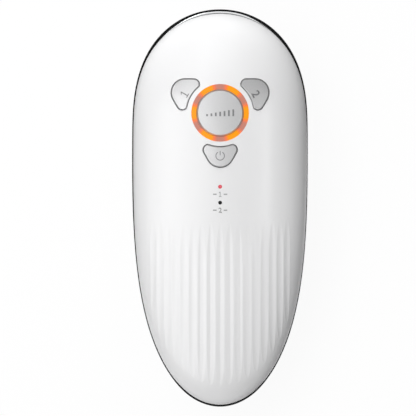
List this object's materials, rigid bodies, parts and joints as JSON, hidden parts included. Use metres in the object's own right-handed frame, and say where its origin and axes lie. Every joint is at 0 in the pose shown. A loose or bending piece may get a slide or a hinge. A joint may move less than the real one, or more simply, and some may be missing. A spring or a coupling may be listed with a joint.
{
  "type": "facial toning device",
  "caption": "Palm-held facial toning device: egg-shaped gloss housing with a chrome band, fluted grip, round treatment head and sprung buttons round a light ring.",
  "frame": {"origin": "middle of the length and width, on the plane that the treatment face rests on", "axes": "+X across the body to the right seen from the button face, +Y along the body to its wide end, +Z out of the button face, away from the treatment face"},
  "size_m": [0.073, 0.165, 0.0425],
  "materials": {
    "shell_white": "high gloss",
    "chrome_trim": "mirror plated",
    "button_silver": "satin metallic",
    "light_amber": "frosted, lit",
    "indicator_red": "lit",
    "indicator_dark": "smooth, unlit",
    "switch_dark": "moulded",
    "steel_plain": "plain",
    "inner_white": "moulded",
    "board_green": "solder mask",
    "led_white": "moulded",
    "chip_black": "moulded",
    "coil_copper": "wound wire",
    "cell_foil": "laminated foil",
    "foam_grey": "foam",
    "wire_red": "insulated",
    "ribbon_amber": "film",
    "electrode_steel": "polished",
    "piezo_ceramic": "fired",
    "insulator_grey": "smooth",
    "seal_rubber": "moulded",
    "nut_brass": "machined",
    "plug_rubber": "smooth"
  },
  "bodies": {
    "housing": {"arc_electrodes": "electrode_steel", "battery_cell": "cell_foil", "battery_leads": "wire_red", "battery_pad": "foam_grey", "battery_plug": "inner_white", "battery_tray": "inner_white", "board_chips": "chip_black", "board_screws": "steel_plain", "boost_coils": "coil_copper", "button_guide": "inner_white", "charge_board": "board_green", "charge_board_screws": "steel_plain", "charge_ribbon": "ribbon_amber", "charge_socket": "steel_plain", "chrome_trim_ring": "chrome_trim", "contact_board": "board_green", "electrode_nuts": "nut_brass", "front_cover": "shell_white", "guide_screws": "steel_plain", "head_gasket": "seal_rubber", "head_housing": "shell_white", "head_insulator": "insulator_grey", "head_ribbon": "ribbon_amber", "head_ribbon_socket": "inner_white", "head_screws": "steel_plain", "head_trim_ring": "chrome_trim", "housing_screws": "steel_plain", "indicator_leds": "led_white", "light_ring": "light_amber", "lower_indicator_lens": "indicator_dark", "main_board": "board_green", "motor_boot": "seal_rubber", "motor_can": "steel_plain", "motor_leads": "wire_red", "piezo_disc": "piezo_ceramic", "rear_cover": "shell_white", "ring_leds": "led_white", "screw_plugs": "plug_rubber", "socket_tongue": "chip_black", "switch_bodies": "steel_plain", "transducer_plate": "electrode_steel", "transducer_wires": "wire_red", "tray_screws": "steel_plain", "upper_indicator_lens": "indicator_red"},
    "center_button_body": {"center_button": "button_silver", "center_plunger": "switch_dark"},
    "left_button_body": {"left_button": "button_silver", "left_plunger": "switch_dark"},
    "right_button_body": {"right_button": "button_silver", "right_plunger": "switch_dark"},
    "power_button_body": {"power_button": "button_silver", "power_plunger": "switch_dark"},
    "motor_rotor": {"motor_shaft": "steel_plain", "eccentric_weight": "steel_plain"}
  },
  "joints": [
    {"name": "center_button_press", "type": "slide", "parent": "housing", "child": "center_button_body", "axis": [0, 0, -1], "range_m": [0, 0.0006], "stiffness_N_per_m": 1500, "springref_m": -0.0008},
    {"name": "left_button_press", "type": "slide", "parent": "housing", "child": "left_button_body", "axis": [0, 0, -1], "range_m": [0, 0.0006], "stiffness_N_per_m": 1500, "springref_m": -0.0008},
    {"name": "right_button_press", "type": "slide", "parent": "housing", "child": "right_button_body", "axis": [0, 0, -1], "range_m": [0, 0.0006], "stiffness_N_per_m": 1500, "springref_m": -0.0008},
    {"name": "power_button_press", "type": "slide", "parent": "housing", "child": "power_button_body", "axis": [0, 0, -1], "range_m": [0, 0.0006], "stiffness_N_per_m": 1500, "springref_m": -0.0008},
    {"name": "motor_spin", "type": "hinge", "parent": "housing", "child": "motor_rotor", "pos_m": [0, 0.06, 0.0194], "axis": [1, 0, 0], "continuous": true}
  ]
}
